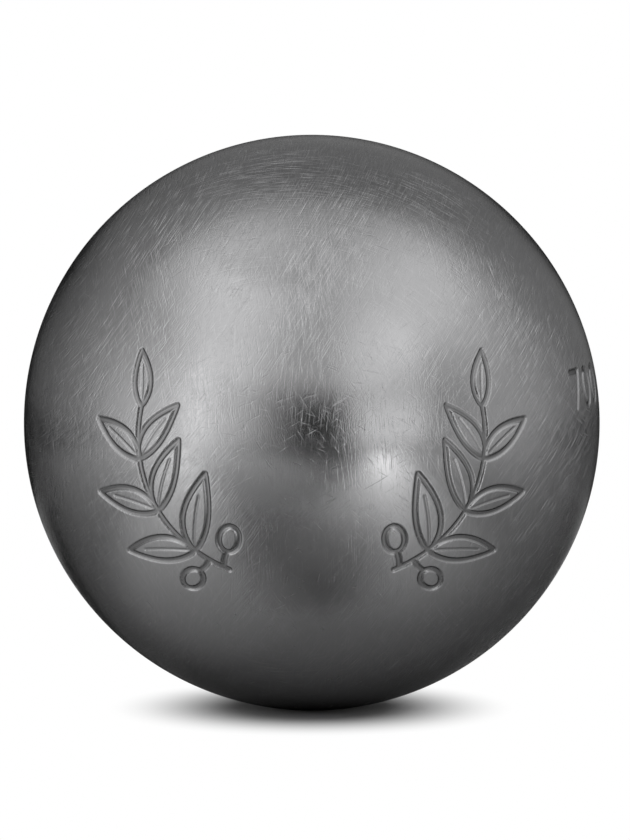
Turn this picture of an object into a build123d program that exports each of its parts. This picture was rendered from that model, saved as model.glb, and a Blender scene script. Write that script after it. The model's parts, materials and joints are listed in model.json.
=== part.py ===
from build123d import *
from math import asin, cos, degrees, hypot, radians, sin, sqrt
import os

# Petanque boule: two stamped half shells of steel, bevelled at the rim and welded into a hollow ball.
# Millimetres. The origin is the centre of the ball and +Z is up. The weld lies in the XZ plane, so one
# half shell faces the front, towards -Y, and the other the back. The outside is turned after welding,
# so the weld is flush there. Inside, its root stands proud of the hollow's wall.

# Driving dimensions
ball_diameter = 74.0
wall_thickness = 6.1
root_gap = 1.6
root_face = 1.5
bevel_angle = 30.0
root_bead_width = 4.4
root_bead_height = 0.9

# Steel, for the printed weight
steel_g_per_mm3 = 0.00785

# Radii of the ball and of its hollow
outer_radius = ball_diameter / 2
inner_radius = outer_radius - wall_thickness

# One rim, as (distance from the axis, distance from the weld plane), from the hollow to the outside:
# the root edge on the hollow's wall, the edge between root face and bevel, and the edge on the ball's face
half_gap = root_gap / 2
root_edge = (sqrt(inner_radius**2 - half_gap**2), half_gap)
land_edge = (root_edge[0] + root_face, half_gap)
bevel_direction = (cos(radians(bevel_angle)), sin(radians(bevel_angle)))
along_bevel = land_edge[0] * bevel_direction[0] + land_edge[1] * bevel_direction[1]
bevel_length = sqrt(along_bevel**2 - hypot(*land_edge) ** 2 + outer_radius**2) - along_bevel
face_edge = (
    land_edge[0] + bevel_length * bevel_direction[0],
    land_edge[1] + bevel_length * bevel_direction[1],
)

# Where the root bead meets the hollow's wall, and the angles of these edges seen from the centre
bead_toe = (sqrt(inner_radius**2 - (root_bead_width / 2) ** 2), root_bead_width / 2)
root_angle = degrees(asin(root_edge[1] / inner_radius))
toe_angle = degrees(asin(bead_toe[1] / inner_radius))
face_angle = degrees(asin(face_edge[1] / outer_radius))
pole_angle = 90.0


def half_shell(side):
    """A stamped half shell with its rim turned for welding; side is -1 for the front and 1 for the back."""

    def on_side(edge):
        return edge[0], side * edge[1]

    with BuildPart() as shell:
        with BuildSketch(Plane.XY) as section:
            with BuildLine():
                CenterArc((0, 0), outer_radius, side * face_angle, side * (pole_angle - face_angle))
                Polyline(on_side(face_edge), on_side(land_edge), on_side(root_edge))
                CenterArc((0, 0), inner_radius, side * root_angle, side * (pole_angle - root_angle))
                Line((0, side * inner_radius), (0, side * outer_radius))
            make_face()
        revolve(axis=Axis.Y)
    return shell


front_shell = half_shell(side=-1)
front_shell.part.label = "front_half_shell"

back_shell = half_shell(side=1)
back_shell.part.label = "back_half_shell"

# The weld fills the gap between the root faces and the V between the bevels, and stands on the hollow's wall
with BuildPart() as weld:
    with BuildSketch(Plane.XY) as weld_section:
        with BuildLine():
            CenterArc((0, 0), outer_radius, -face_angle, 2 * face_angle)
            for side in (-1, 1):
                Polyline(*[(edge[0], side * edge[1]) for edge in (face_edge, land_edge, root_edge)])
                CenterArc((0, 0), inner_radius, side * root_angle, side * (toe_angle - root_angle))
            bead_crown = (inner_radius - root_bead_height, 0)
            ThreePointArc((bead_toe[0], -bead_toe[1]), bead_crown, bead_toe)
        make_face()
    revolve(axis=Axis.Y)
weld.part.label = "weld_seam"

os.makedirs("parts", exist_ok=True)
for piece in (front_shell, back_shell, weld):
    export_step(piece.part, f"parts/{piece.part.label}.step")

steel_mm3 = sum(piece.part.volume for piece in (front_shell, back_shell, weld))
print(f"weight {steel_mm3 * steel_g_per_mm3:.1f} g, weld {2 * face_edge[1]:.2f} mm wide on the outside")
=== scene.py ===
import json
from math import asin, atan2, cos, hypot, pi, radians, sin, sqrt

import bmesh
import bpy
from mathutils import Matrix, Vector
from mathutils.kdtree import KDTree


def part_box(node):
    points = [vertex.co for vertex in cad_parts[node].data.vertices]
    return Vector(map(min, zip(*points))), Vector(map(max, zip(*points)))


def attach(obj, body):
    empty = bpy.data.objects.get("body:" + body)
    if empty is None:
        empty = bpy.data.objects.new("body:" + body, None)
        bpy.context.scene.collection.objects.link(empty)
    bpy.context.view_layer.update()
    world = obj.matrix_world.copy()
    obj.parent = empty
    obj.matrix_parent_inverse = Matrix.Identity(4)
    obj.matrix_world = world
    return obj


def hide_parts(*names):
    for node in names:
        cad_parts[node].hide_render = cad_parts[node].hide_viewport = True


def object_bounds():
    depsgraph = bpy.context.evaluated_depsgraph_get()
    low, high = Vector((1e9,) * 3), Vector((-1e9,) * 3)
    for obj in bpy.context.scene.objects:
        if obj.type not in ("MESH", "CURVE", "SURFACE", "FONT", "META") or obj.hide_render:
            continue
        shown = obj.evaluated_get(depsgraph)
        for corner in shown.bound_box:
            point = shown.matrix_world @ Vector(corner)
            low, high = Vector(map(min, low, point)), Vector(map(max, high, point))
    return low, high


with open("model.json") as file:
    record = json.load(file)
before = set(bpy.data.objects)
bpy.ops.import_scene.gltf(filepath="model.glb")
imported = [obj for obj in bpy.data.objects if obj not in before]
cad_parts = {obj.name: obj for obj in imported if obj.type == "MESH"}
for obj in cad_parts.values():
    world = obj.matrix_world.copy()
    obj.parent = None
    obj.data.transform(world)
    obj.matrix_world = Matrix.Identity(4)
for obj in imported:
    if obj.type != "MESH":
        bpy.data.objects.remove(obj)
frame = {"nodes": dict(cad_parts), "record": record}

# Petanque boule: two half shells of satin steel with an engraved face each, and the weld between them.
# Metres. The origin is the centre of the ball, -Y is the front and +Z is up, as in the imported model.

cad_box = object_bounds()

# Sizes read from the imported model, and how near a point lies to the face or the wall that it is on
face_tolerance = 0.00001
wall_tolerance = 0.00002
shell_points = [v.co for v in frame["nodes"]["front_half_shell"].data.vertices]
weld_points = [v.co for v in frame["nodes"]["weld_seam"].data.vertices]
ball_radius = min(cad_box[1])
floor_height = frame["record"]["mounts"][0]["pos_m"][2]
hollow_radius = min(point.length for point in shell_points)
seam_half_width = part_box("weld_seam")[1].y
rim_half_gap = -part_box("front_half_shell")[1].y
land_points = [hypot(p.x, p.z) for p in shell_points if abs(p.y + rim_half_gap) < face_tolerance]
root_radius = min(land_points)
land_radius = max(land_points)
bead_radius = min(hypot(p.x, p.z) for p in weld_points)
bead_half_width = max(p.y for p in weld_points if abs(p.length - hollow_radius) < wall_tolerance)
seam_angle = pi / 2 - asin(seam_half_width / ball_radius)

# Mesh: a shell's sectors, its rings from pole to rim and the spokes round the rim, and the weld's strips
shell_sectors = 6
shell_rings = 56
rim_spokes = shell_sectors * shell_rings
weld_strips = 8
bead_strips = 8

# How near to an engraved line a shell's mesh is split, round by round, and the step of points on a line
refine_reach = (0.0015, 0.0011, 0.00075)
refine_step = 0.0003

# Engraving: the grooves, and the finer veins of the leaves
groove_half_width = 0.00042
groove_depth = 0.00024
vein_half_width = 0.00022
vein_depth = 0.0001

# The engraved sprig, drawn flat from its foot at the origin along +X
sprig_length = 0.0245
sprig_bow = 0.0042
stem_steps = 40
leaf_pairs = 3
leaf_length = 0.0105
leaf_angle = radians(46)
leaf_tip_share = 0.78
leaf_closing = 0.25
fruit_count = 2
fruit_length = 0.0062
fruit_swing = radians(76)

# Shares of the stem: where the leaves start, the fruit start and end, and what counts as the tip
leaves_from = 0.2
fruit_from = 0.03
fruit_to = 0.11
tip_from = 0.99

# One leaf, drawn one unit long: its bend, the powers that shape its sides, and the stretch of its vein
leaf_bend = 0.16
leaf_slenderness = 0.33
leaf_lean = 0.82
leaf_fullness = 0.9
leaf_steps = 18
vein_from = 0.06
vein_stretch = 0.66
vein_steps = 8

# One fruit on its stalk, drawn one unit long
stalk_length = 0.4
stalk_bend = 0.02
fruit_half_length = 0.3
fruit_half_width = 0.22
fruit_steps = 24

# The weight figures, drawn one unit high
figure_half_width = 0.29
figure_pitch = 0.86
figure_steps = 28
seven_width = 0.56
seven_foot = 0.18

# Where the sprigs and the figures lie on a shell's face: degrees to the right and up of its pole and the
# turn of the drawing, and for a sprig 1, or -1 if it is mirrored
sprig_places = ((-27.0, -8.0, 118.0, 1), (27.0, -8.0, 62.0, -1))
figures_place = (73.0, 9.0, 0.0)
figure_height = 0.0046

# Steel: its colours, polish and sheen at the edge, and the soft clouds in its tone and polish
steel_colour = (0.16, 0.16, 0.162)
weld_colour = (0.155, 0.155, 0.158)
steel_roughness = 0.18
edge_tint = 0.45
cloud_scale = 55.0
cloud_detail = 3.0
cloud_shade = 0.12
cloud_dullness = 0.05

# Brushing: a line's length and width, the level of noise that it starts from, the mean of what lies above
# it, a line's depth and brightness, and the shift from one family of lines to the next
brush_length = 0.0028
brush_width = 0.0001
brush_from = 0.58
brush_mean = 0.028
brush_relief = 0.00005
brush_shade = 0.6
brush_shift = 0.1

# The patches that a family of lines shows in: their size, the level of noise they start from and its gain
brush_patch = 0.014
patch_from = 0.25
patch_gain = 3.0

# The axis that each family of lines runs round, its strength at a shell's pole and further out, and the
# share of the ball's radius squared at which the second is reached
brush_lines = (
    ((1.0, 0.0, -0.1), 0.36, 1.0),
    ((1.0, 0.15, 0.1), 0.36, 1.0),
    ((1.0, -0.2, 0.5), 0.3, 1.2),
    ((0.84, 0.0, -0.54), 0.2, 2.3),
    ((0.78, 0.1, -0.62), 0.1, 2.3),
    ((0.12, 1.0, 0.1), 0.0, 1.4),
)
brush_spread = 0.85

# Scratches of use: how many families, a scratch's length and width, the level of noise it starts from, its
# depth and dullness, and the shifts of the families
scratch_ways = 5
scratch_length = 0.0024
scratch_width = 0.00014
scratch_from = 0.72
scratch_relief = 0.00005
scratch_dullness = 0.6
scratch_shift = 0.13
first_scratch_shift = 0.05

# Inside the engraved grooves: how much less brushed they are, how much painted shade darkens them, and how
# much duller they are
groove_clean = 0.7
groove_painted_shade = 0.42
groove_dullness = 0.1

# Camera, for a picture of 630 by 840
picture_width = 630
picture_height = 840
ball_in_picture = (311.77, 422.65)
ball_radius_in_picture = 287.95
camera_elevation = radians(6)
camera_distance = 1.0
sensor_side = 36.0
lens_reach = 100.0

# Studio: the room's even light, the floor's size, and its grey for the lens and in the steel
plain_white = (1.0, 1.0, 1.0, 1.0)
room_light = 0.15
floor_reach = 12.0
floor_grey = 0.52
mirrored_grey = 0.57

# Distances from the ball's foot: where the painted shadow on the floor in the steel grows from black to
# the floor's grey, and where the floor turns plain white for the lens and in the steel
painted_contact_shadow = (0.0045, 0.0145)
white_near = (0.009, 0.0265)
white_far = (0.35, 1.1)

# Softboxes that face the ball: name, degrees right and up from the camera's side, width, height, the
# shares of them over which the light fades at its edges, and the brightness of the rest
softbox_distance = 0.6
softboxes = (
    ("left_softbox", -40, 26, 0.56, 0.88, 0.30, 0.08, 1.6),
    ("left_strip_softbox", -45, 9, 0.12, 0.52, 0.20, 0.26, 1.9),
    ("left_high_softbox", -77, 64, 0.52, 0.52, 0.48, 0.30, 1.3),
    ("left_wide_softbox", -72, 6, 0.72, 0.96, 0.42, 0.50, 1.45),
    ("right_softbox", 30, 12, 0.38, 1.02, 0.10, 0.27, 1.3),
    ("right_low_softbox", 31, 4, 0.27, 0.25, 0.08, 0.32, 1.05),
    ("right_high_softbox", 70, 46, 0.98, 0.76, 0.37, 0.29, 1.14),
    ("right_wide_softbox", 84, 6, 1.24, 0.52, 0.50, 0.33, 0.6),
)

# The panel overhead: name, width, front and back edges, height, the share over which it fades, brightness
roof_panel = ("roof_panel", 1.8, -1.8, 0.165, 0.65, 0.02, 0.7)

# Bright sheets on the floor, which grow brighter outwards: name, degrees right, near and far end, width,
# the share of the width over which they fade and of the length over which they grow, and brightness
floor_sheets = (
    ("left_floor_sheet", -49, 0.02, 0.41, 0.073, 0.32, 0.45, 3.4),
    ("left_side_floor_sheet", -57, 0.05, 0.75, 0.40, 0.05, 0.45, 1.8),
    ("right_floor_sheet", 27, 0.03, 0.40, 0.10, 0.50, 0.72, 7.8),
    ("right_side_floor_sheet", 73, 0.055, 0.81, 0.38, 0.05, 0.46, 1.0),
)
sheet_lift = 0.0005
sheet_end_fade = 0.1

# Dark scrims that only the steel mirrors, in front round the lens, and behind the ball to darken its
# outline: name, degrees right from the camera's side at both ends, the distance and lift off the floor of
# the foot and of the head, the shares over which it thins out at its sides, foot and head, and its density
crisp = 0.001
scrim_lift = 0.0004
scrims = (
    ("lens_scrim", -14, 18, (0.9, 0.0), (0.9, 0.3), (0.28, crisp, 0.3), 0.9),
    ("lens_floor_scrim", -13, 18, (0.13, scrim_lift), (0.9, scrim_lift), (0.25, 0.4, crisp), 0.65),
    ("near_floor_scrim", -24, 28, (0.037, scrim_lift), (0.1, scrim_lift), (0.4, 0.25, 0.55), 0.6),
    ("outline_scrim", 144, 224, (0.2, 0.0), (0.2, 0.124), (0.2, crisp, 0.35), 1.0),
    ("outline_floor_scrim", 116, 244, (0.012, scrim_lift), (0.2, scrim_lift), (0.3, 0.03, 0.5), 0.68),
    ("left_back_scrim", 208, 246, (0.3, 0.0), (0.3, 0.21), (0.25, crisp, 0.25), 0.35),
    ("high_back_scrim", 120, 226, (0.42, 0.28), (0.16, 0.62), (0.25, 0.25, 0.25), 0.28),
)
scrim_black = (0.01, 0.01, 0.01, 1.0)


class Wire:
    """A socket of a node tree. Python's operators on it add Math nodes to the tree."""

    def __init__(self, tree, socket=None):
        self.tree = tree
        self.socket = socket

    def node(self, kind, settings=None, sockets=None, out=0):
        """Adds a node: its settings, then the values or links of its sockets. Gives one of its outputs."""
        made = self.tree.nodes.new(kind)
        for name, value in (settings or {}).items():
            setattr(made, name, value)
        for key, value in (sockets or {}).items():
            for item in value if isinstance(value, list) else [value]:
                if isinstance(item, Wire):
                    self.tree.links.new(item.socket, made.inputs[key])
                else:
                    made.inputs[key].default_value = item
        return Wire(self.tree, made.outputs[out] if len(made.outputs) else None)

    def out(self, name):
        return Wire(self.tree, self.socket.node.outputs[name])

    def math(self, operation, *values):
        return self.node("ShaderNodeMath", {"operation": operation}, dict(enumerate(values)))

    def vector(self, operation, *values, out=0):
        return self.node("ShaderNodeVectorMath", {"operation": operation}, dict(enumerate(values)), out)

    def __add__(self, other):
        return self.math("ADD", self, other)

    def __radd__(self, other):
        return self.math("ADD", other, self)

    def __sub__(self, other):
        return self.math("SUBTRACT", self, other)

    def __rsub__(self, other):
        return self.math("SUBTRACT", other, self)

    def __mul__(self, other):
        return self.math("MULTIPLY", self, other)

    def __rmul__(self, other):
        return self.math("MULTIPLY", other, self)

    def __truediv__(self, other):
        return self.math("DIVIDE", self, other)

    def above(self, floor):
        return self.math("MAXIMUM", self, floor)

    def below(self, ceiling):
        return self.math("MINIMUM", self, ceiling)

    def scaled(self, factor):
        return self.node("ShaderNodeVectorMath", {"operation": "SCALE"}, {0: self, "Scale": factor})


def empty_tree(owner):
    """Empties an owner's own node tree. Gives a wire to build it with."""
    owner.use_nodes = True
    owner.node_tree.nodes.clear()
    return Wire(owner.node_tree)


def add_object(name, data):
    """Puts an object with its data into the scene."""
    made = bpy.data.objects.new(name, data)
    bpy.context.scene.collection.objects.link(made)
    return made


def flat_lines(name, lines):
    """Polylines as a mesh of edges. A line is a list of (x, y), closed where its ends meet."""
    points = []
    edges = []
    for line in lines:
        start = len(points)
        points += [(x, y, 0.0) for x, y in line]
        edges += [(start + k, start + k + 1) for k in range(len(line) - 1)]
    mesh = bpy.data.meshes.new(name)
    mesh.from_pydata(points, edges, [])
    return add_object(name, mesh)


def leaf_spine(t):
    """A point along the middle of a leaf."""
    return t, leaf_bend * t * t


def leaf_side(t, side):
    """A point on one edge of a leaf."""
    x, y = leaf_spine(t)
    half = leaf_slenderness / 2 * sin(pi * t**leaf_lean) ** leaf_fullness
    return x, y + side * half


def leaf_outline():
    """Both edges of a leaf."""
    shares = [k / leaf_steps for k in range(leaf_steps + 1)]
    return [[leaf_side(t, side) for t in shares] for side in (1, -1)]


def leaf_vein():
    """The vein along the middle of a leaf."""
    return [[leaf_spine(vein_from + vein_stretch * k / vein_steps) for k in range(vein_steps + 1)]]


def fruit_outline():
    """An oval fruit on its stalk."""
    centre = stalk_length + fruit_half_length
    ways = [2 * pi * k / fruit_steps for k in range(fruit_steps + 1)]
    oval = [(centre - fruit_half_length * cos(way), fruit_half_width * sin(way)) for way in ways]
    return [[(0.0, 0.0), (stalk_length / 2, stalk_bend), (stalk_length, 0.0)], oval]


def figure_lines(text):
    """Plain stroke figures, upright and one unit high, in a row about the origin."""
    ways = [2 * pi * k / figure_steps for k in range(figure_steps + 1)]
    oval = [(figure_half_width + figure_half_width * sin(way), 0.5 + 0.5 * cos(way)) for way in ways]
    shapes = {"7": [(0.0, 1.0), (seven_width, 1.0), (seven_foot, 0.0)], "0": oval}
    lines = []
    for place, figure in enumerate(text):
        shift = (place - (len(text) - 1) / 2) * figure_pitch - figure_half_width
        lines.append([(x + shift, y - 0.5) for x, y in shapes[figure]])
    return lines


def geometry_tree(name, inputs):
    """A Geometry Nodes tree with named inputs. Gives the tree and the wire of its input node."""
    tree = bpy.data.node_groups.new(name, "GeometryNodeTree")
    tree.interface.new_socket("Geometry", in_out="INPUT", socket_type="NodeSocketGeometry")
    for label, kind in inputs:
        tree.interface.new_socket(label, in_out="INPUT", socket_type="NodeSocket" + kind)
    tree.interface.new_socket("Geometry", in_out="OUTPUT", socket_type="NodeSocketGeometry")
    return tree, Wire(tree).node("NodeGroupInput")


def close_tree(shape, material):
    """Ends a tree: plain geometry with its material."""
    plain = shape.node("GeometryNodeRealizeInstances", sockets={"Geometry": shape})
    painted = plain.node("GeometryNodeSetMaterial", sockets={"Geometry": plain, "Material": material})
    painted.node("NodeGroupOutput", sockets={0: painted})


def run_tree(piece, tree, values):
    """Runs a tree on an object and keeps the result as its plain mesh."""
    modifier = piece.modifiers.new(tree.name, "NODES")
    modifier.node_group = tree
    names = {s.name: s.identifier for s in tree.interface.items_tree if s.in_out == "INPUT"}
    for label, value in values.items():
        modifier[names[label]] = value
    graph = bpy.context.evaluated_depsgraph_get()
    result = piece.evaluated_get(graph)
    mesh = bpy.data.meshes.new_from_object(result, preserve_all_data_layers=True, depsgraph=graph)
    mesh.name = piece.name
    piece.modifiers.clear()
    piece.data = mesh


def sprig_tree():
    """Leaves in pairs along a bowed stem with one at its tip, and fruit at its foot, laid on the ball."""
    tree, given = geometry_tree("olive_sprig", (
        ("Leaf", "Object"), ("Fruit", "Object"), ("Stem Shown", "Float"), ("Length", "Float"),
        ("Bow", "Float"), ("Leaf Pairs", "Int"), ("Leaf Length", "Float"), ("Leaf Angle", "Float"),
        ("Tip Share", "Float"), ("Fruit Length", "Float"), ("Mirror", "Float"), ("Turn", "Vector"),
        ("Ball Radius", "Float"), ("Material", "Material")))
    length = given.out("Length")
    middle = given.node("ShaderNodeCombineXYZ", sockets={0: length * 0.5, 1: given.out("Bow") * 2})
    end = given.node("ShaderNodeCombineXYZ", sockets={0: length})
    stem = given.node("GeometryNodeCurveQuadraticBezier", sockets={
        "Resolution": stem_steps, "Start": (0, 0, 0), "Middle": middle, "End": end})
    tangent = given.node("GeometryNodeInputTangent")
    along = given.node("FunctionNodeAlignRotationToVector", {"axis": "X"}, {"Vector": tangent})
    index = given.node("GeometryNodeInputIndex")

    def turned(angle):
        swing = given.node("ShaderNodeCombineXYZ", sockets={2: angle})
        euler = given.node("FunctionNodeEulerToRotation", sockets={0: swing})
        return given.node("FunctionNodeRotateRotation", {"rotation_space": "LOCAL"},
                          {"Rotation": along, "Rotate By": euler})

    def copies(shape, start, stop, count, angle, scale, wanted=None):
        stretch = given.node("GeometryNodeTrimCurve", sockets={"Curve": stem, 2: start, 3: stop})
        knots = given.node("GeometryNodeResampleCurve", sockets={"Curve": stretch, "Count": count})
        item = given.node("GeometryNodeObjectInfo", sockets={
            "Object": shape, "As Instance": True}, out="Geometry")
        sockets = {"Points": knots, "Instance": item, "Rotation": turned(angle), "Scale": scale}
        if wanted:
            sockets["Selection"] = wanted
        return given.node("GeometryNodeInstanceOnPoints", sockets=sockets)

    share = index / given.out("Leaf Pairs")
    tip = given.math("GREATER_THAN", share, tip_from)
    size = given.out("Leaf Length") * (1 - share * (1 - given.out("Tip Share")))
    count = given.out("Leaf Pairs") + 1
    parts = []
    for side in (1, -1):
        angle = given.out("Leaf Angle") * (1 - tip) * (1 - leaf_closing * share) * side
        scale = given.node("ShaderNodeCombineXYZ", sockets={0: size, 1: size * side, 2: size})
        wanted = 1 - tip if side < 0 else None
        parts.append(copies(given.out("Leaf"), leaves_from, 1.0, count, angle, scale, wanted))
    shown = given.out("Stem Shown")
    size = given.out("Fruit Length") * shown
    scale = given.node("ShaderNodeCombineXYZ", sockets={0: size, 1: size, 2: size})
    angle = (index * 2 - 1) * fruit_swing
    parts.append(copies(given.out("Fruit"), fruit_from, fruit_to, fruit_count, angle, scale, shown))
    stem_lines = given.node("GeometryNodeCurveToMesh", sockets={"Curve": stem})
    parts.append(given.node("GeometryNodeDeleteGeometry", sockets={
        "Geometry": stem_lines, "Selection": 1 - shown}))
    joined = given.node("GeometryNodeJoinGeometry", sockets={0: parts})
    drawn = given.node("GeometryNodeRealizeInstances", sockets={"Geometry": joined})
    here = given.node("ShaderNodeSeparateXYZ", sockets={0: given.node("GeometryNodeInputPosition")})
    centred = given.node("ShaderNodeCombineXYZ", sockets={
        0: here - length * 0.5, 1: here.out("Y") * given.out("Mirror"), 2: given.out("Ball Radius")})
    placed = given.node("ShaderNodeVectorRotate", {"rotation_type": "EULER_XYZ"},
                        {"Vector": centred, "Rotation": given.out("Turn")})
    on_ball = placed.vector("NORMALIZE", placed).scaled(given.out("Ball Radius"))
    laid = given.node("GeometryNodeSetPosition", sockets={"Geometry": drawn, "Position": on_ball})
    close_tree(laid, given.out("Material"))
    return tree


def engraving_tree():
    """Cuts round-bottomed grooves into a shell's face along two sets of lines, and stores their depth."""
    tree, given = geometry_tree("engraving", (
        ("Grooves", "Object"), ("Veins", "Object"), ("Groove Half Width", "Float"),
        ("Groove Depth", "Float"), ("Vein Half Width", "Float"), ("Vein Depth", "Float"),
        ("Material", "Material")))

    def cut(lines, half_width, depth):
        source = given.out(lines)
        target = given.node("GeometryNodeObjectInfo", sockets={"Object": source}, out="Geometry")
        away = given.node("GeometryNodeProximity", {"target_element": "EDGES"}, {0: target}, "Distance")
        across = away / given.out(half_width)
        return (1 - across * across * across).above(0.0) * given.out(depth)

    deep = cut("Grooves", "Groove Half Width", "Groove Depth")
    deep = deep.math("MAXIMUM", deep, cut("Veins", "Vein Half Width", "Vein Depth"))
    here = given.node("GeometryNodeInputPosition")
    inward = here.vector("NORMALIZE", here).scaled(0 - deep)
    shape = given.node("GeometryNodeStoreNamedAttribute", {"data_type": "FLOAT", "domain": "POINT"},
                       {"Geometry": given, "Name": "cut", "Value": deep / given.out("Groove Depth")})
    shape = given.node("GeometryNodeSetPosition", sockets={"Geometry": shape, "Offset": inward})
    close_tree(shape, given.out("Material"))
    return tree


def drawing_turn(shell_turn, right, up, tilt):
    """The turn that takes a flat drawing, facing +Z, to its place on a shell's face."""
    around = Matrix.Rotation(radians(right) + shell_turn, 3, "Z")
    lifted = Matrix.Rotation(radians(90 - up), 3, "X")
    tilted = Matrix.Rotation(radians(tilt), 3, "Z")
    return (around @ lifted @ tilted).to_euler("XYZ")


def joined_lines(name, pieces):
    """Line meshes as one object."""
    points = []
    edges = []
    for piece in pieces:
        start = len(points)
        points += [v.co.copy() for v in piece.data.vertices]
        edges += [(start + e.vertices[0], start + e.vertices[1]) for e in piece.data.edges]
        bpy.data.objects.remove(piece)
    mesh = bpy.data.meshes.new(name)
    mesh.from_pydata(points, edges, [])
    return add_object(name, mesh)


def drawing(name, shell_turn, material, templates, tree, figures):
    """The grooves and the veins of one shell's face, as two line objects on the ball."""
    leaf, vein, fruit = templates
    grooves = []
    veins = []
    for right, up, tilt, mirror in sprig_places:
        for leaf_lines, shown, pile in ((leaf, 1.0, grooves), (vein, 0.0, veins)):
            sprig = add_object("sprig", bpy.data.meshes.new("sprig"))
            run_tree(sprig, tree, {
                "Leaf": leaf_lines, "Fruit": fruit, "Stem Shown": shown, "Length": sprig_length,
                "Bow": sprig_bow, "Leaf Pairs": leaf_pairs, "Leaf Length": leaf_length,
                "Leaf Angle": leaf_angle, "Tip Share": leaf_tip_share, "Fruit Length": fruit_length,
                "Mirror": float(mirror), "Turn": drawing_turn(shell_turn, right, up, tilt),
                "Ball Radius": ball_radius, "Material": material})
            pile.append(sprig)
    if figures:
        weight = flat_lines("weight_figures", figure_lines(figures))
        turn = drawing_turn(shell_turn, *figures_place).to_matrix()
        for vertex in weight.data.vertices:
            flat = vertex.co * figure_height + Vector((0, 0, ball_radius))
            vertex.co = (turn @ flat).normalized() * ball_radius
        grooves.append(weight)
    return joined_lines(name + "_grooves", grooves), joined_lines(name + "_veins", veins)


def cap(shape, radius, angle, turn, outward):
    """A dome from its pole to an angle, in rings and sectors. Gives its rim's points in order."""
    rings = []
    for ring in range(shell_rings + 1):
        tilt = angle * ring / shell_rings
        spokes = max(1, shell_sectors * ring)
        row = []
        for k in range(spokes):
            way = 2 * pi * k / spokes
            spot = Vector((sin(tilt) * cos(way), -cos(tilt), sin(tilt) * sin(way))) * radius
            row.append(shape.verts.new(turn @ spot))
        rings.append(row)
    for ring in range(shell_rings):
        inner = rings[ring]
        outer = rings[ring + 1]
        for sector in range(shell_sectors):
            for k in range(ring + 1):
                a = inner[(sector * ring + k) % len(inner)]
                b = outer[sector * (ring + 1) + k]
                c = outer[(sector * (ring + 1) + k + 1) % len(outer)]
                shape.faces.new((a, b, c) if outward else (a, c, b))
                if k < ring:
                    d = inner[(sector * ring + k + 1) % len(inner)]
                    shape.faces.new((a, c, d) if outward else (a, d, c))
    return rings[-1]


def refine(shape, radius, lines):
    """Splits a dome's edges near the lines, again and again, and puts the new points on the ball."""
    spots = []
    for obj in lines:
        for edge in obj.data.edges:
            a, b = (obj.data.vertices[k].co for k in edge.vertices)
            steps = max(1, round((b - a).length / refine_step))
            spots += [a.lerp(b, k / steps) for k in range(steps + 1)]
    near = KDTree(len(spots))
    for k, spot in enumerate(spots):
        near.insert(spot, k)
    near.balance()
    for reach in refine_reach:
        chosen = [e for e in shape.edges if not e.is_boundary
                  and near.find((e.verts[0].co + e.verts[1].co) / 2)[2] < reach]
        bmesh.ops.subdivide_edges(shape, edges=chosen, cuts=1, use_grid_fill=True)
        bmesh.ops.triangulate(shape, faces=[f for f in shape.faces if len(f.verts) > 3])
        for vertex in shape.verts:
            vertex.co = vertex.co.normalized() * radius


def band(shape, one, two, sharp=True):
    """Faces between two closed rows of points. The first row's edges stay sharp."""
    for k in range(len(one)):
        n = (k + 1) % len(one)
        shape.faces.new((one[k], two[k], two[n], one[n]))
        if sharp:
            shape.edges.get((one[k], one[n])).smooth = False


def finished_mesh(name, shape):
    """A shape as a mesh with smooth faces."""
    for face in shape.faces:
        face.smooth = True
    shape.normal_update()
    mesh = bpy.data.meshes.new(name)
    shape.to_mesh(mesh)
    shape.free()
    return mesh


def circle(shape, radius, height, turn):
    """A row of points round the shells' axis, in the same order as a dome's rim."""
    row = []
    for k in range(rim_spokes):
        way = 2 * pi * k / rim_spokes
        row.append(shape.verts.new(turn @ Vector((radius * cos(way), height, radius * sin(way)))))
    return row


def half_shell(name, shell_turn, lines):
    """One half shell: its outside, its bevelled rim with the root face, and the wall of the hollow."""
    turn = Matrix.Rotation(shell_turn, 3, "Z")
    shape = bmesh.new()
    cap(shape, ball_radius, seam_angle, turn, True)
    refine(shape, ball_radius, lines)
    rim = [None] * rim_spokes
    for vertex in shape.verts:
        if vertex.is_boundary:
            spot = vertex.co @ turn
            rim[round(atan2(spot.z, spot.x) / (2 * pi) * rim_spokes) % rim_spokes] = vertex
    land = circle(shape, land_radius, -rim_half_gap, turn)
    hollow_rim = cap(shape, hollow_radius, pi / 2 - asin(rim_half_gap / hollow_radius), turn, False)
    band(shape, rim, land)
    band(shape, land, hollow_rim)
    for k in range(rim_spokes):
        shape.edges.get((hollow_rim[k - 1], hollow_rim[k])).smooth = False
    return add_object(name, finished_mesh(name, shape))


def weld_band(name):
    """The weld: flush outside, bevels and root faces to both sides, and the root bead inside."""
    shape = bmesh.new()
    still = Matrix.Identity(3)
    half = asin(seam_half_width / ball_radius)
    face = [-half + 2 * half * k / weld_strips for k in range(weld_strips + 1)]
    outside = [(ball_radius * cos(a), ball_radius * sin(a)) for a in face]
    toe_radius = sqrt(hollow_radius**2 - bead_half_width**2)
    rise = toe_radius - bead_radius
    bead = []
    for k in range(bead_strips + 1):
        across = 1 - 2 * k / bead_strips
        bead.append((toe_radius - rise * (1 - across**2), bead_half_width * across))
    profile = outside + [(land_radius, rim_half_gap), (root_radius, rim_half_gap)] + bead
    profile += [(root_radius, -rim_half_gap), (land_radius, -rim_half_gap)]
    rows = [circle(shape, radius, height, still) for radius, height in profile]
    flank = weld_strips + 1
    corners = {0, weld_strips, *range(flank, flank + 3), *range(len(rows) - 3, len(rows))}
    for k in range(len(rows)):
        band(shape, rows[k], rows[(k + 1) % len(rows)], k in corners)
    bmesh.ops.recalc_face_normals(shape, faces=shape.faces)
    return add_object(name, finished_mesh(name, shape))


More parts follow.
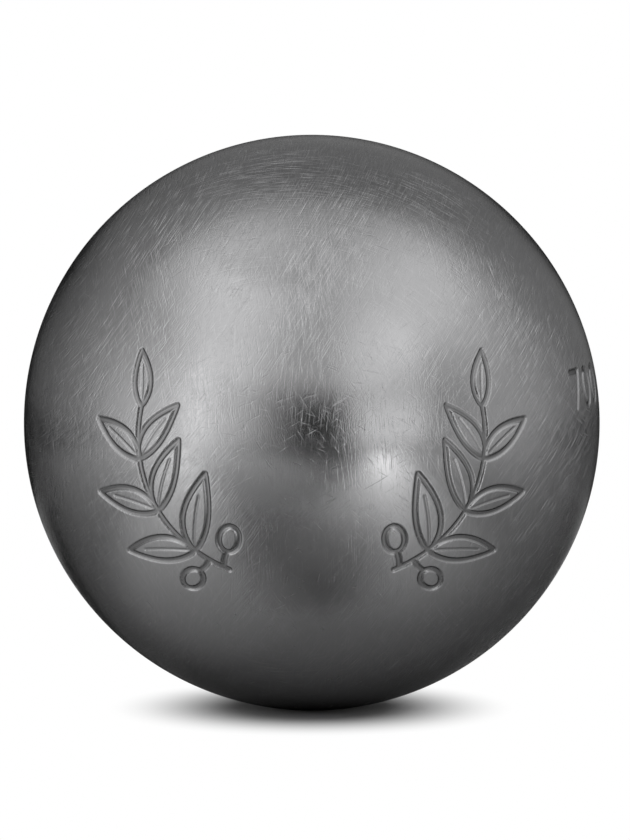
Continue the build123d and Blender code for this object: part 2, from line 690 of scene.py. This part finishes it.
def spread_axes(count):
    """Directions spread evenly over a half ball."""
    golden = pi * (3 - sqrt(5))
    for k in range(count):
        rise = 1 - (k + 0.5) / count
        reach = sqrt(1 - rise * rise)
        yield Vector((reach * cos(golden * k), reach * sin(golden * k), rise))


def drawn_out(place, axis, length, width, shift):
    """A noise that is drawn out into lines round an axis."""
    turn = axis.to_track_quat("Z", "Y").to_euler()
    lines = place.node("ShaderNodeMapping", {"vector_type": "TEXTURE"}, {
        "Vector": place, "Location": (shift, shift, shift), "Rotation": turn,
        "Scale": (length, length, width)})
    return place.node("ShaderNodeTexNoise", sockets={"Vector": lines, "Scale": 1.0, "Detail": 0.0})


def brushing(place):
    """Fine satin lines in patches, about a mean of nought, each family stronger towards the rim."""
    x = place.node("ShaderNodeSeparateXYZ", sockets={0: place})
    z = x.out("Z")
    outward = ((x * x + z * z) / (brush_spread * ball_radius**2)).below(1.0)
    total = 0.0
    for k, (axis, at_pole, at_rim) in enumerate(brush_lines):
        way = Vector(axis).normalized()
        lines = drawn_out(place, way, brush_length, brush_width, brush_shift * k)
        patch = drawn_out(place, way, brush_patch, brush_patch, brush_shift * (k + 0.5))
        strength = at_pole + (at_rim - at_pole) * outward
        strength = strength * ((patch - patch_from) * patch_gain).above(0.0)
        total = total + ((lines - brush_from).above(0.0) - brush_mean) * strength
    return total


def scratches(place):
    """Single sharper scratches, strewn in all directions."""
    total = 0.0
    for k, axis in enumerate(spread_axes(scratch_ways)):
        way = Vector((axis.z, axis.x, axis.y))
        shift = scratch_shift * k + first_scratch_shift
        lines = drawn_out(place, way, scratch_length, scratch_width, shift)
        total = total + (lines - scratch_from).above(0.0)
    return total


def steel(name, colour):
    """Satin steel, brushed all over and scratched by use, cleaner in the engraved grooves, with painted
    shade darkening them.
    """
    material = bpy.data.materials.new(name)
    start = empty_tree(material)
    place = start.node("ShaderNodeTexCoord", out="Object")
    cut = start.node("ShaderNodeAttribute", {"attribute_name": "cut"}, out="Fac")
    groove = cut.below(1.0)
    worn = 1 - groove_clean * groove
    brushed = brushing(place) * worn
    scratched = scratches(place) * worn
    cloud = start.node("ShaderNodeTexNoise", sockets={
        "Vector": place, "Scale": cloud_scale, "Detail": cloud_detail})
    shade = 1 + cloud_shade * (cloud - 0.5) + brush_shade * brushed
    # Painted shade darkens the steel's colour in the engraved grooves, more where the cut is deeper
    paint = start.node("ShaderNodeVectorMath", {"operation": "SCALE"}, {
        0: colour, "Scale": shade * (1 - groove_painted_shade * groove)})
    dull = steel_roughness + cloud_dullness * (cloud - 0.5)
    dull = dull + scratch_dullness * scratched + groove_dullness * groove
    carved = brush_relief * brushed + scratch_relief * scratched
    relief = start.node("ShaderNodeBump", sockets={"Height": 0 - carved, "Distance": 1.0})
    surface = start.node("ShaderNodeBsdfPrincipled", sockets={
        "Base Color": paint, "Metallic": 1.0, "Roughness": dull, "Normal": relief,
        "Specular Tint": (edge_tint, edge_tint, edge_tint, 1.0)})
    start.node("ShaderNodeOutputMaterial", sockets={"Surface": surface})
    return material


def floor_paint():
    """A pale floor that keeps the ball's shadow, and is plain white further out for what looks at it. In
    the steel it has a painted shadow round the ball's foot.
    """
    material = bpy.data.materials.new("pale_floor")
    start = empty_tree(material)
    looks = start.node("ShaderNodeLightPath", out="Is Camera Ray")
    mirrored = (looks.out("Is Glossy Ray") + looks.out("Is Transmission Ray")).below(1.0)
    place = start.node("ShaderNodeTexCoord", out="Object")
    away = place.vector("LENGTH", place, out="Value")

    def beyond(reach):
        return start.node("ShaderNodeMapRange", {"interpolation_type": "SMOOTHSTEP"}, {
            "Value": away, "From Min": reach[0], "From Max": reach[1]})

    # Seen in the steel the floor takes its own grey, with a painted shadow that is black at the ball's
    # foot and fades out
    grey = floor_grey + mirrored * (mirrored_grey * beyond(painted_contact_shadow) - floor_grey)
    matt = start.node("ShaderNodeBsdfDiffuse", sockets={"Color": grey})
    white = start.node("ShaderNodeEmission", sockets={"Color": plain_white, "Strength": 1.0})
    mixed = start.node("ShaderNodeMixShader", sockets={
        0: looks * beyond(white_near) + mirrored * beyond(white_far), 1: matt, 2: white})
    start.node("ShaderNodeOutputMaterial", sockets={"Surface": mixed})
    return material


def studio_world():
    """White for what looks at it, and a low even light on everything."""
    world = bpy.data.worlds.new("studio")
    start = empty_tree(world)
    looks = start.node("ShaderNodeLightPath", out="Is Camera Ray")
    seen = (looks + looks.out("Is Glossy Ray") + looks.out("Is Transmission Ray")).below(1.0)
    dim = start.node("ShaderNodeBackground", sockets={"Color": plain_white, "Strength": room_light})
    white = start.node("ShaderNodeBackground", sockets={"Color": plain_white, "Strength": 1.0})
    mixed = start.node("ShaderNodeMixShader", sockets={0: seen, 1: dim, 2: white})
    start.node("ShaderNodeOutputWorld", sockets={"Surface": mixed})
    bpy.context.scene.world = world


def edge_fade(right, up, sides, foot, head):
    """Falls from 1 to 0 over shares of a rectangle at its sides, foot and head."""
    across = (right.below(1 - right) / sides).below(1.0)
    return across * (up / foot).below(1.0) * ((1 - up) / head).below(1.0)


def lamp(name, place, along, outward, size, fades, brightness):
    """A soft lamp that shines against its outward direction and fades at its sides, foot and head."""
    width, length = size
    light = bpy.data.lights.new(name, "AREA")
    light.shape = "RECTANGLE"
    light.size = width
    light.size_y = length
    light.energy = brightness * pi * width * length
    start = empty_tree(light)
    spot = start.node("ShaderNodeNewGeometry", out="Parametric")
    right = start.node("ShaderNodeSeparateXYZ", sockets={0: spot})
    up = right.out("Y")
    glow = start.node("ShaderNodeEmission", sockets={"Strength": edge_fade(right, up, *fades)})
    start.node("ShaderNodeOutputLight", sockets={"Surface": glow})
    stand = add_object(name, light)
    stand.location = place
    stand.rotation_euler = Matrix((along.cross(outward), along, outward)).transposed().to_euler()


def softbox(name, right, up, width, height, side_fade, end_fade, brightness):
    """A lamp that faces the ball."""
    turn = radians(right)
    rise = radians(up)
    way = Vector((sin(turn) * cos(rise), -cos(turn) * cos(rise), sin(rise)))
    along = Vector((-sin(turn) * sin(rise), cos(turn) * sin(rise), cos(rise)))
    fades = (side_fade, end_fade, end_fade)
    lamp(name, way * softbox_distance, along, way, (width, height), fades, brightness)


def roof(name, width, front, back, height, fade, brightness):
    """A flat lamp overhead."""
    place = Vector((0, (front + back) / 2, height))
    size = (width, back - front)
    lamp(name, place, Vector((0, 1, 0)), Vector((0, 0, 1)), size, (fade, fade, fade), brightness)


def floor_way(right):
    """A level direction, in degrees to the right from the camera's side."""
    return Vector((sin(radians(right)), -cos(radians(right)), 0))


def floor_sheet(name, right, near, far, width, side_fade, growth, brightness):
    """A bright sheet that lies on the floor and faces up."""
    way = floor_way(right)
    place = way * (near + far) / 2 + Vector((0, 0, floor_height + sheet_lift))
    fades = (side_fade, growth, sheet_end_fade)
    lamp(name, place, way, Vector((0, 0, -1)), (width, far - near), fades, brightness)


def scrim(name, left, right, foot, head, fades, density):
    """A dark cloth, thinner towards its edges, that is seen in the steel alone."""
    corners = []
    for (distance, lift), sides in ((foot, (left, right)), (head, (right, left))):
        for side in sides:
            corners.append(floor_way(side) * distance + Vector((0, 0, floor_height + lift)))
    mesh = bpy.data.meshes.new(name)
    mesh.from_pydata(corners, [], [(0, 1, 2, 3)])
    spread = mesh.uv_layers.new(name="spread")
    for loop, spot in zip(spread.data, ((0, 0), (1, 0), (1, 1), (0, 1))):
        loop.uv = spot
    cloth = bpy.data.materials.new(name)
    start = empty_tree(cloth)
    clear = start.node("ShaderNodeBsdfTransparent")
    matt = start.node("ShaderNodeBsdfDiffuse", sockets={"Color": scrim_black})
    place = start.node("ShaderNodeTexCoord", out="UV")
    right = start.node("ShaderNodeSeparateXYZ", sockets={0: place})
    cover = density * edge_fade(right, right.out("Y"), *fades)
    woven = start.node("ShaderNodeMixShader", sockets={0: cover, 1: clear, 2: matt})
    start.node("ShaderNodeOutputMaterial", sockets={"Surface": woven})
    mesh.materials.append(cloth)
    stand = add_object(name, mesh)
    stand.visible_camera = False


def camera():
    """A long lens in front, a little above, with the ball where the picture has it."""
    lens = bpy.data.cameras.new("camera")
    made = add_object("camera", lens)
    way = Vector((0, -cos(camera_elevation), sin(camera_elevation)))
    made.location = way * camera_distance
    made.rotation_euler = way.to_track_quat("Z", "Y").to_euler()
    pixels = ball_radius_in_picture * sqrt(camera_distance**2 - ball_radius**2) / ball_radius
    lens.sensor_width = sensor_side
    lens.lens = pixels / picture_height * sensor_side
    lens.shift_x = (picture_width / 2 - ball_in_picture[0]) / picture_height
    lens.shift_y = (ball_in_picture[1] - picture_height / 2) / picture_height
    lens.clip_end = lens_reach
    bpy.context.scene.camera = made


# Pieces
satin_steel = steel("satin_steel", steel_colour)
weld_steel = steel("weld_steel", weld_colour)
templates = (
    flat_lines("leaf", leaf_outline()),
    flat_lines("vein", leaf_vein()),
    flat_lines("fruit", fruit_outline()),
)
sprigs = sprig_tree()
engraving = engraving_tree()

for piece_name, node_name, shell_turn, figures in (
        ("front_shell", "front_half_shell", 0.0, "700"), ("back_shell", "back_half_shell", pi, "")):
    grooves, veins = drawing(piece_name, shell_turn, satin_steel, templates, sprigs, figures)
    shell = half_shell(piece_name, shell_turn, (grooves, veins))
    run_tree(shell, engraving, {
        "Grooves": grooves, "Veins": veins, "Groove Half Width": groove_half_width,
        "Groove Depth": groove_depth, "Vein Half Width": vein_half_width, "Vein Depth": vein_depth,
        "Material": satin_steel})
    bpy.data.objects.remove(grooves)
    bpy.data.objects.remove(veins)
    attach(shell, "root")
    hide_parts(node_name)
for template in templates:
    bpy.data.objects.remove(template)

weld = weld_band("weld_band")
weld.data.materials.append(weld_steel)
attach(weld, "root")
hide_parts("weld_seam")

# Stage
square = ((-1, -1), (1, -1), (1, 1), (-1, 1))
floor_corners = [(x * floor_reach, y * floor_reach, 0) for x, y in square]
floor_mesh = bpy.data.meshes.new("floor")
floor_mesh.from_pydata(floor_corners, [], [(0, 1, 2, 3)])
floor_mesh.materials.append(floor_paint())
floor = add_object("floor", floor_mesh)
floor.location.z = floor_height
studio_world()
for row in softboxes:
    softbox(*row)
roof(*roof_panel)
for row in floor_sheets:
    floor_sheet(*row)
for row in scrims:
    scrim(*row)
camera()
bpy.context.scene.view_settings.view_transform = "Standard"
